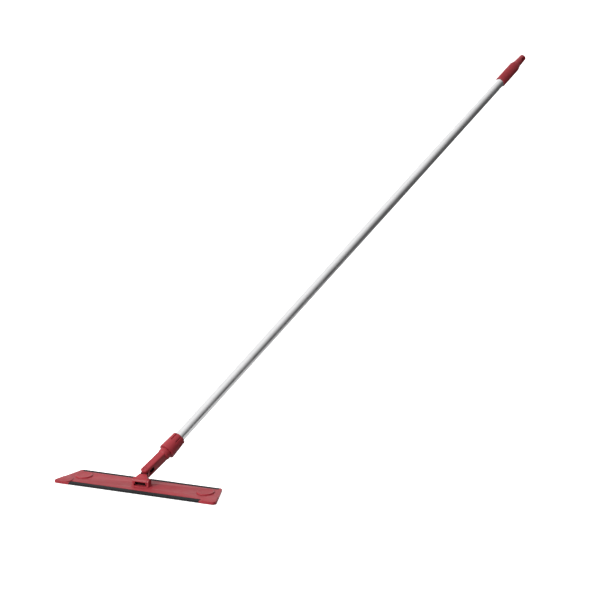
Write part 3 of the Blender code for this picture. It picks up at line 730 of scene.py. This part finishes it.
def hook_strip(name, node):
    """Hook tape: a thin slab whose sole carries rows of round-topped hooks.

    Over the sole z is 0.45 mm less 0.45 mm times sin^2(pi x / pitch) sin^2(pi y / pitch), so hooks
    stand in rows a pitch apart. The grid folds up at its rim to close on a flat back.
    """
    low, high = (np.array(corner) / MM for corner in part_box(node))
    pitch = sizes().hook_pitch / MM
    half = (high - low) / 2
    centre = (low + high) / 2
    columns = int(round(2 * half[0] / pitch)) * HOOK_STEPS + 1
    rows = int(round(2 * half[1] / pitch)) * HOOK_STEPS + 1
    x, y = np.meshgrid(np.linspace(-half[0], half[0], columns), np.linspace(-half[1], half[1], rows))
    cells = np.round(2 * half[:2] / pitch)
    hooks = np.sin(math.pi * (x + half[0]) * cells[0] / (2 * half[0])) ** 2
    hooks = hooks * np.sin(math.pi * (y + half[1]) * cells[1] / (2 * half[1])) ** 2
    sole = np.stack([centre[0] + x, centre[1] + y, low[2] + HOOK_HEIGHT * (1 - hooks)], axis=-1)
    back = sole.copy()
    back[..., 2] = high[2]
    rim = np.concatenate([back[:1], sole, back[-1:]])
    sides = np.concatenate([rim[:, :1], rim, rim[:, -1:]], axis=1)
    sides[:, 0, 2] = high[2]
    sides[:, -1, 2] = high[2]
    quads = grid_quads(*sides.shape[:2], False, False)
    points = placed(sides.reshape(-1, 3), np.zeros(3), (X_AXIS, Y_AXIS, Z_AXIS))
    capped(finished(name, points, quads, woven_nylon(), "head", [node], 80))


class MOP_OT_hook_tapes(bpy.types.Operator):
    """Build the three hook tapes on the sole"""

    bl_idname = "mop.hook_tapes"
    bl_label = "Hook Tapes"

    def execute(self, context):
        for place in ("front", "middle", "rear"):
            hook_strip(f"{place}_hook_tape", f"hook_tape_{place}")
        return {"FINISHED"}


class MOP_OT_round_caps(bpy.types.Operator):
    """Build the two dished round caps"""

    bl_idname = "mop.round_caps"
    bl_label = "Round Caps"

    def execute(self, context):
        profile = [
            (0, CAP_TOP - 0.9),
            (CAP_R - 9.0, CAP_TOP - 0.85),
            (CAP_R - 5.4, CAP_TOP - 0.5),
            (CAP_R - 3.2, CAP_TOP),
            (CAP_R - 1.3, CAP_TOP - 0.05),
            (CAP_R - 0.1, CAP_TOP - 1.4),
            (CAP_R, CAP_FOOT),
            (0, CAP_FOOT),
        ]
        reach = [0.01, 3.0, 1.2, 1.2, 1.0, 0.8, 0.4, 0.01]
        profile = met_on_axis(rounded_loop(profile, reach))
        for place, name, node in zip(
            CAP_PLACES,
            ("left_dished_cap", "right_dished_cap"),
            ("left_round_cap", "right_round_cap"),
        ):
            origin = np.array([place, CAP_Y, 0]) * MM
            points, quads = turned(profile, CAP_SIDES, origin, (X_AXIS, Y_AXIS, Z_AXIS))
            finished(name, points, quads, red_polypropylene(), "head", [node], 50)
        return {"FINISHED"}


class MOP_OT_bracket(bpy.types.Operator):
    """Build the hinge bracket with rounded edges"""

    bl_idname = "mop.bracket"
    bl_label = "Hinge Bracket"

    def execute(self, context):
        radius = sizes().edge_radius
        softened("clevis_bracket", "hinge_bracket", radius, red_polypropylene(), "head")
        return {"FINISHED"}


def pin(name, node, middle, axes, reach, body):
    """A pin with a domed head: its section is turned about the joint's axis."""
    section = [
        (0, reach),
        (PIN_HEAD_R - 1.4, reach - 0.05),
        (PIN_HEAD_R, reach - PIN_DOME - 0.1),
        (PIN_HEAD_R, reach - PIN_HEAD_THICK),
        (PIN_R, reach - PIN_HEAD_THICK),
        (PIN_R, -reach + PIN_SHORT),
        (0, -reach + PIN_SHORT),
    ]
    section = met_on_axis(rounded_loop(section, [0.01, 0.9, 0.3, 0.15, 0.15, 0.4, 0.01]))
    points, quads = turned(section, PIN_SIDES, middle, axes)
    finished(name, points, quads, red_polypropylene(), body, [node], 50)


def ring(name, node, middle, axes, reach, body):
    """The ring pressed on a pin's plain end: its section is turned about the joint's axis."""
    inner = PIN_R + RING_GAP
    section = [
        (inner, -reach + PIN_HEAD_THICK),
        (PIN_HEAD_R, -reach + PIN_HEAD_THICK),
        (PIN_HEAD_R, -reach),
        (inner, -reach),
    ]
    points, quads = turned(rounded_loop(section, 0.3), PIN_SIDES, middle, axes)
    finished(name, points, quads, red_polypropylene(), body, [node], 50)


class MOP_OT_joint_pins(bpy.types.Operator):
    """Build both hinge pins and their rings"""

    bl_idname = "mop.joint_pins"
    bl_label = "Hinge Pins"

    def execute(self, context):
        sideways = (Y_AXIS, Z_AXIS, X_AXIS)
        crosswise = (POLE_AXIS, SIDE_AXIS, FORK_AXIS)
        pin("lower_domed_pin", "lower_pin", LOWER_PIN, sideways, EAR_REACH, "head")
        ring("lower_pressed_ring", "lower_pin_ring", LOWER_PIN, sideways, EAR_REACH, "head")
        pin("upper_domed_pin", "upper_pin", UPPER_PIN, crosswise, FORK_REACH, "arm")
        ring("upper_pressed_ring", "upper_pin_ring", UPPER_PIN, crosswise, FORK_REACH, "arm")
        return {"FINISHED"}


def paint_recess_shade(piece, origin, inside):
    """The faces whose middles lie inside a recess get painted shade: the near-black polypropylene.

    A middle's local place is its distance from the origin along the handle's side, fork and pole
    axes, in millimetres, and inside tells from it whether the face lines the recess.
    """
    piece.data.materials.append(grimed_polypropylene())
    middles = np.empty(3 * len(piece.data.polygons), np.float32)
    piece.data.polygons.foreach_get("center", middles)
    local = (middles.reshape(-1, 3) - origin) / MM @ np.stack(HANDLE_AXES).T
    # Material 1, the near-black painted shade, goes on the faces in the recess
    index = np.where(inside(local), 1, 0).astype(np.int32)
    piece.data.polygons.foreach_set("material_index", index)


class MOP_OT_joint_block(bpy.types.Operator):
    """Build the joint's middle block with rounded edges"""

    bl_idname = "mop.joint_block"
    bl_label = "Joint Block"

    def execute(self, context):
        radius = sizes().edge_radius
        plastic = red_polypropylene()
        block = softened("tilting_block", "cross_block", radius, plastic, "block")
        across = X_AXIS @ np.stack(HANDLE_AXES).T
        rise = (UPPER_PIN - LOWER_PIN) @ np.stack(HANDLE_AXES).T
        rise = rise / np.linalg.norm(rise)

        def in_recess(local):
            """Inside the barrel's skin and between its ends, or on the tongue's faces in the fork."""
            along = local @ across
            off = np.linalg.norm(local - along[:, None] * across, axis=1)
            pocket = (off < BARREL_R - RECESS_SKIN) & (np.abs(along) < BARREL_REACH)
            flank = np.abs(np.abs(local[:, 1]) - TONGUE_HALF) < FACE_GAP
            tongue = flank & (local @ rise > TONGUE_FOOT)
            return pocket | tongue

        # The barrel's pocket and the tongue's faces in the fork get painted shade
        paint_recess_shade(block, LOWER_PIN, in_recess)
        return {"FINISHED"}


class MOP_OT_forked_arm(bpy.types.Operator):
    """Build the forked arm and its sleeve with rounded edges"""

    bl_idname = "mop.forked_arm"
    bl_label = "Forked Arm"

    def execute(self, context):
        radius = sizes().edge_radius
        plastic = red_polypropylene()
        arm = softened("forked_arm", "arm", radius, plastic, "arm")

        def in_slot(local):
            """Between the cheeks, below the slot's top."""
            return (np.abs(local[:, 1]) < SLOT_REACH) & (local[:, 2] < SLOT_TOP)

        # The faces in the slot between the cheeks get painted shade
        paint_recess_shade(arm, UPPER_PIN, in_slot)
        return {"FINISHED"}


class MOP_OT_collar(bpy.types.Operator):
    """Build the fluted twist-lock collar"""

    bl_idname = "mop.collar"
    bl_label = "Twist-Lock Collar"

    def execute(self, context):
        foot, top = COLLAR
        outside = [(COLLAR_TOP_R, top), (COLLAR_FOOT_R, foot)]
        inside = [
            (COLLAR_BORE, foot),
            (COLLAR_BORE, COLLAR_CONE),
            (COLLAR_CONE_R, COLLAR_CONE_TOP),
            (COLLAR_CONE_R, top - COLLAR_LIP),
            (COLLAR_LIP_R, top - COLLAR_LIP),
            (COLLAR_LIP_R, top),
        ]
        reach = [1.1, 1.2, 0.5, 1.0, 1.0, 0.3, 0.3, 0.5]
        profile = rounded_loop(outside + inside, reach)
        profile = dense(np.append(profile, profile[:1], axis=0), 0.8)[:-1]
        count = sizes().collar_flutes
        depth = sizes().flute_depth / MM
        length = sizes().flute_length / MM

        def flutes(turn, height, radius):
            """Depth times a flat-bottomed groove across, which opens over 3 mm from its lower end."""
            across = np.abs(((turn * count / TWO_PI) + 0.5) % 1 - 0.5) * TWO_PI / count * COLLAR_TOP_R
            grooves = 1 - smooth_step(across, FLUTE_FLAT, FLUTE_WALL)
            start = top - length - across
            along = smooth_step(height, start, start + FLUTE_RUN)
            outer = smooth_step(radius, COLLAR_BORE, COLLAR_BORE + 0.1)
            return depth * grooves * along * outer

        points, quads = turned(profile, FLUTE_SIDES * count, POLE_ORIGIN, HANDLE_AXES, flutes)
        plastic = red_polypropylene()
        finished("fluted_collar", points, quads, plastic, "collar", ["locking_collar"], 50)
        return {"FINISHED"}


class MOP_OT_pole(bpy.types.Operator):
    """Build the drawn aluminium tube"""

    bl_idname = "mop.pole"
    bl_label = "Pole"

    def execute(self, context):
        foot, top = POLE
        inner = POLE_R - POLE_WALL
        section = rounded_loop([(inner, top), (POLE_R, top), (POLE_R, foot), (inner, foot)], 0.3)
        section = dense(np.append(section, section[:1], axis=0), 60)[:-1]
        points, quads = turned(section, POLE_SIDES, POLE_ORIGIN, HANDLE_AXES)
        finished("drawn_tube", points, quads, anodised_aluminium(), "handle", ["pole"], 60)
        return {"FINISHED"}


class MOP_OT_hand_grip(bpy.types.Operator):
    """Build the ribbed hand grip"""

    bl_idname = "mop.hand_grip"
    bl_label = "Hand Grip"

    def execute(self, context):
        foot, top = GRIP
        bore = POLE_R + GRIP_GAP
        outline = [
            (EYE_SOCKET_R, top),
            (EYE_FOOT_R + 0.8, top),
            (GRIP_R - 1.2, top - GRIP_SHOULDER * 0.7),
            (GRIP_R, top - GRIP_SHOULDER),
            (GRIP_R, foot),
            (bore, foot),
            (bore, GRIP_BORE_TOP),
            (EYE_SOCKET_R, GRIP_BORE_TOP),
        ]
        reach = [0.3, 1.0, 3.0, 3.0, 0.9, 0.4, 0.5, 0.5]
        profile = rounded_loop(outline, reach)
        profile = dense(np.append(profile, profile[:1], axis=0), 1.5)[:-1]
        count = sizes().grip_ribs
        depth = sizes().rib_depth / MM

        def grooves(turn, height, radius):
            """Depth times a round-bottomed groove across, which fades at the foot and on the shoulder."""
            across = np.abs((turn * count / TWO_PI) % 1 - 0.5)
            valley = 1 - smooth_step(across, 0.06, 0.3)
            along = smooth_step(height, foot + 1.5, foot + 4) * (1 - smooth_step(height, top - 8, top - 3))
            outer = smooth_step(radius, bore + 0.3, bore + 0.6)
            return depth * valley * along * outer

        points, quads = turned(profile, RIB_SIDES * count, POLE_ORIGIN, HANDLE_AXES, grooves)
        plastic = red_polypropylene()
        finished("ribbed_grip", points, quads, plastic, "handle", ["hand_grip"], 60)
        return {"FINISHED"}


class MOP_OT_hanging_eye(bpy.types.Operator):
    """Build the hanging eye with rounded edges"""

    bl_idname = "mop.hanging_eye"
    bl_label = "Hanging Eye"

    def execute(self, context):
        radius = sizes().edge_radius
        softened("pierced_end", "hanging_eye", radius, red_polypropylene(), "handle")
        return {"FINISHED"}


class MOP_OT_screws(bpy.types.Operator):
    """Give the bracket's screws their zinc plate"""

    bl_idname = "mop.screws"
    bl_label = "Bracket Screws"

    def execute(self, context):
        for number in range(1, 5):
            screw = NODES[f"bracket_screw_{number}"]
            screw.data.materials.clear()
            screw.data.materials.append(zinc_plate())
        return {"FINISHED"}


# ---------------------------------------------------------------- stage

# The camera's place in metres, its turns, its lens and sensor in millimetres, and its far limit in metres
CAMERA_PLACE = (1.5181, -2.8716, 1.1697)
CAMERA_AZIMUTH = math.radians(21.69)
CAMERA_ELEVATION = math.radians(13.02)
CAMERA_ROLL = math.radians(-0.14)
CAMERA_LENS = 92.8
SENSOR_WIDTH = 36
CAMERA_CLIP = 60

# The floor's flat radii and its far rise, as (radius, height), in millimetres
FLOOR_LEVEL = -0.3
FLOOR_FLAT = (0, 500, 4000, 20000)
FLOOR_RISE = ((24000, 400), (27000, 1800), (29000, 5000), (30000, 20000))
FLOOR_GLOW = 0.75

# The card's level in millimetres, and its reach and the radius where its glow starts to fall, in metres
CARD_LEVEL = -0.2
CARD_REACH = 2.2
CARD_NEAR = 0.5
CARD_GLOW = (0.62, 0.1)

# The room's light goes from the first level to the second as a direction turns to the dark side
DARK_SIDE = (0.74, 0.13, -0.66)
ROOM_TURN = (-0.7, 0.55)
ROOM_GLOW = (1.0, 0.1)

# Each lamp's place, target and width in metres, and its power in watts
KEY_LAMP = ((-1.9, -3.0, 2.0), (0.2, 0.5, 0.4), 1.5, 115)
REAR_LAMP = ((0.1, 2.5, 0.95), (0.3, 0, 0), 0.9, 9)


def area_light(name, place, target, size, power):
    """A square soft box at a place, turned to its target and itself unseen."""
    lamp = bpy.data.lights.new(name, "AREA")
    lamp.shape = "SQUARE"
    lamp.size = size
    lamp.energy = power
    light = bpy.data.objects.new(name, lamp)
    light.location = place
    light.rotation_euler = (Vector(target) - Vector(place)).to_track_quat("-Z", "Y").to_euler()
    light.visible_camera = False
    bpy.context.scene.collection.objects.link(light)


def paper(name, profile, colour):
    """A turned sheet of matt paper from its (radius, height) points in millimetres.

    It comes back with its material's tree, its shader and the object's coordinates.
    """
    upright = (X_AXIS, Y_AXIS, Z_AXIS)
    points, quads = turned(profile, PAPER_SIDES, np.zeros(3), upright, closed=False)
    mesh = bpy.data.meshes.new(name)
    mesh.from_pydata(points.tolist(), [], quads.tolist())
    shape = bmesh.new()
    shape.from_mesh(mesh)
    bmesh.ops.remove_doubles(shape, verts=shape.verts, dist=MERGE_DISTANCE)
    bmesh.ops.recalc_face_normals(shape, faces=shape.faces)
    shape.to_mesh(mesh)
    shape.free()
    disc = bpy.data.objects.new(name, mesh)
    bpy.context.scene.collection.objects.link(disc)
    material, tree, shader, place = shader_of(f"matt_{name}")
    shader.inputs["Base Color"].default_value = (*linear(colour), 1)
    shader.inputs["Roughness"].default_value = 1.0
    shader.inputs["Emission Color"].default_value = (1, 1, 1, 1)
    mesh.materials.append(material)
    return disc, tree, shader, place


def floor():
    """A wide white paper floor that rises far off into a wall, and a card seen only in reflections."""
    flat = [(radius, FLOOR_LEVEL) for radius in FLOOR_FLAT]
    ground, _, shader, _ = paper("white_paper_floor", [*flat, *FLOOR_RISE], "#F4F4F4")
    shader.inputs["Emission Strength"].default_value = FLOOR_GLOW
    ground.visible_diffuse = False
    ground.visible_glossy = False
    ground.visible_shadow = False
    disc = [(0, CARD_LEVEL), (CARD_REACH / MM, CARD_LEVEL)]
    card, tree, shader, place = paper("bounce_card", disc, "#000000")
    away = add(tree, "ShaderNodeVectorMath", {0: place}, operation="LENGTH")
    near, far = CARD_GLOW
    glow = add(
        tree,
        "ShaderNodeMapRange",
        {
            "Value": away.outputs["Value"],
            "From Min": CARD_NEAR,
            "From Max": CARD_REACH,
            "To Min": near,
            "To Max": far,
        },
    )
    tree.links.new(glow.outputs["Result"], shader.inputs["Emission Strength"])
    card.visible_camera = False
    card.visible_diffuse = False
    card.visible_shadow = False


def studio():
    """A pale room that is bright to the upper left and dark to the lower right."""
    world = bpy.data.worlds.new("studio")
    world.use_nodes = True
    tree = world.node_tree
    way = add(tree, "ShaderNodeTexCoord").outputs["Generated"]
    toward = add(tree, "ShaderNodeVectorMath", {0: way, 1: DARK_SIDE}, operation="DOT_PRODUCT")
    level = add(
        tree,
        "ShaderNodeMapRange",
        {
            "Value": toward.outputs["Value"],
            "From Min": ROOM_TURN[0],
            "From Max": ROOM_TURN[1],
            "To Min": ROOM_GLOW[0],
            "To Max": ROOM_GLOW[1],
        },
    )
    tree.links.new(level.outputs["Result"], tree.nodes["Background"].inputs["Strength"])
    tree.nodes["Background"].inputs["Color"].default_value = (1, 1, 1, 1)
    bpy.context.scene.world = world


class MOP_OT_stage(bpy.types.Operator):
    """Build the floor, the soft light and the camera"""

    bl_idname = "mop.stage"
    bl_label = "Stage"

    def execute(self, context):
        scene = context.scene
        floor()
        studio()
        area_light("key", *KEY_LAMP)
        area_light("rear", *REAR_LAMP)
        view = bpy.data.cameras.new("view")
        view.sensor_width = SENSOR_WIDTH
        view.lens = CAMERA_LENS
        view.clip_end = CAMERA_CLIP
        camera = bpy.data.objects.new("view", view)
        turn = Matrix.Rotation(CAMERA_AZIMUTH, 4, "Z")
        turn = turn @ Matrix.Rotation(math.pi / 2 - CAMERA_ELEVATION, 4, "X")
        turn = turn @ Matrix.Rotation(CAMERA_ROLL, 4, "Z")
        camera.matrix_world = Matrix.Translation(CAMERA_PLACE) @ turn
        scene.collection.objects.link(camera)
        scene.camera = camera
        scene.view_settings.view_transform = "Standard"
        return {"FINISHED"}


PIECES = (
    MOP_OT_head_plate,
    MOP_OT_edge_strips,
    MOP_OT_hook_tapes,
    MOP_OT_round_caps,
    MOP_OT_bracket,
    MOP_OT_screws,
    MOP_OT_joint_pins,
    MOP_OT_joint_block,
    MOP_OT_forked_arm,
    MOP_OT_collar,
    MOP_OT_pole,
    MOP_OT_hand_grip,
    MOP_OT_hanging_eye,
    MOP_OT_stage,
)


class MOP_PT_panel(bpy.types.Panel):
    """The mop's sizes, colours and operators"""

    bl_label = "Flat Mop"
    bl_idname = "MOP_PT_panel"
    bl_space_type = "VIEW_3D"
    bl_region_type = "UI"
    bl_category = "Flat Mop"

    def draw(self, context):
        for group in (context.scene.mop_sizes, context.scene.mop_colours):
            box = self.layout.box()
            for name in group.bl_rna.properties.keys():
                if name not in ("rna_type", "name"):
                    box.prop(group, name)
        for operator in PIECES:
            self.layout.operator(operator.bl_idname)


CLASSES = (MopSizes, MopColours, *PIECES, MOP_PT_panel)


def register():
    for kind in CLASSES:
        bpy.utils.register_class(kind)
    bpy.types.Scene.mop_sizes = PointerProperty(type=MopSizes)
    bpy.types.Scene.mop_colours = PointerProperty(type=MopColours)


def unregister():
    del bpy.types.Scene.mop_colours
    del bpy.types.Scene.mop_sizes
    for kind in reversed(CLASSES):
        bpy.utils.unregister_class(kind)


def main():
    register()
    for operator in PIECES:
        group, name = operator.bl_idname.split(".")
        getattr(getattr(bpy.ops, group), name)()


if __name__ == "__main__":
    main()
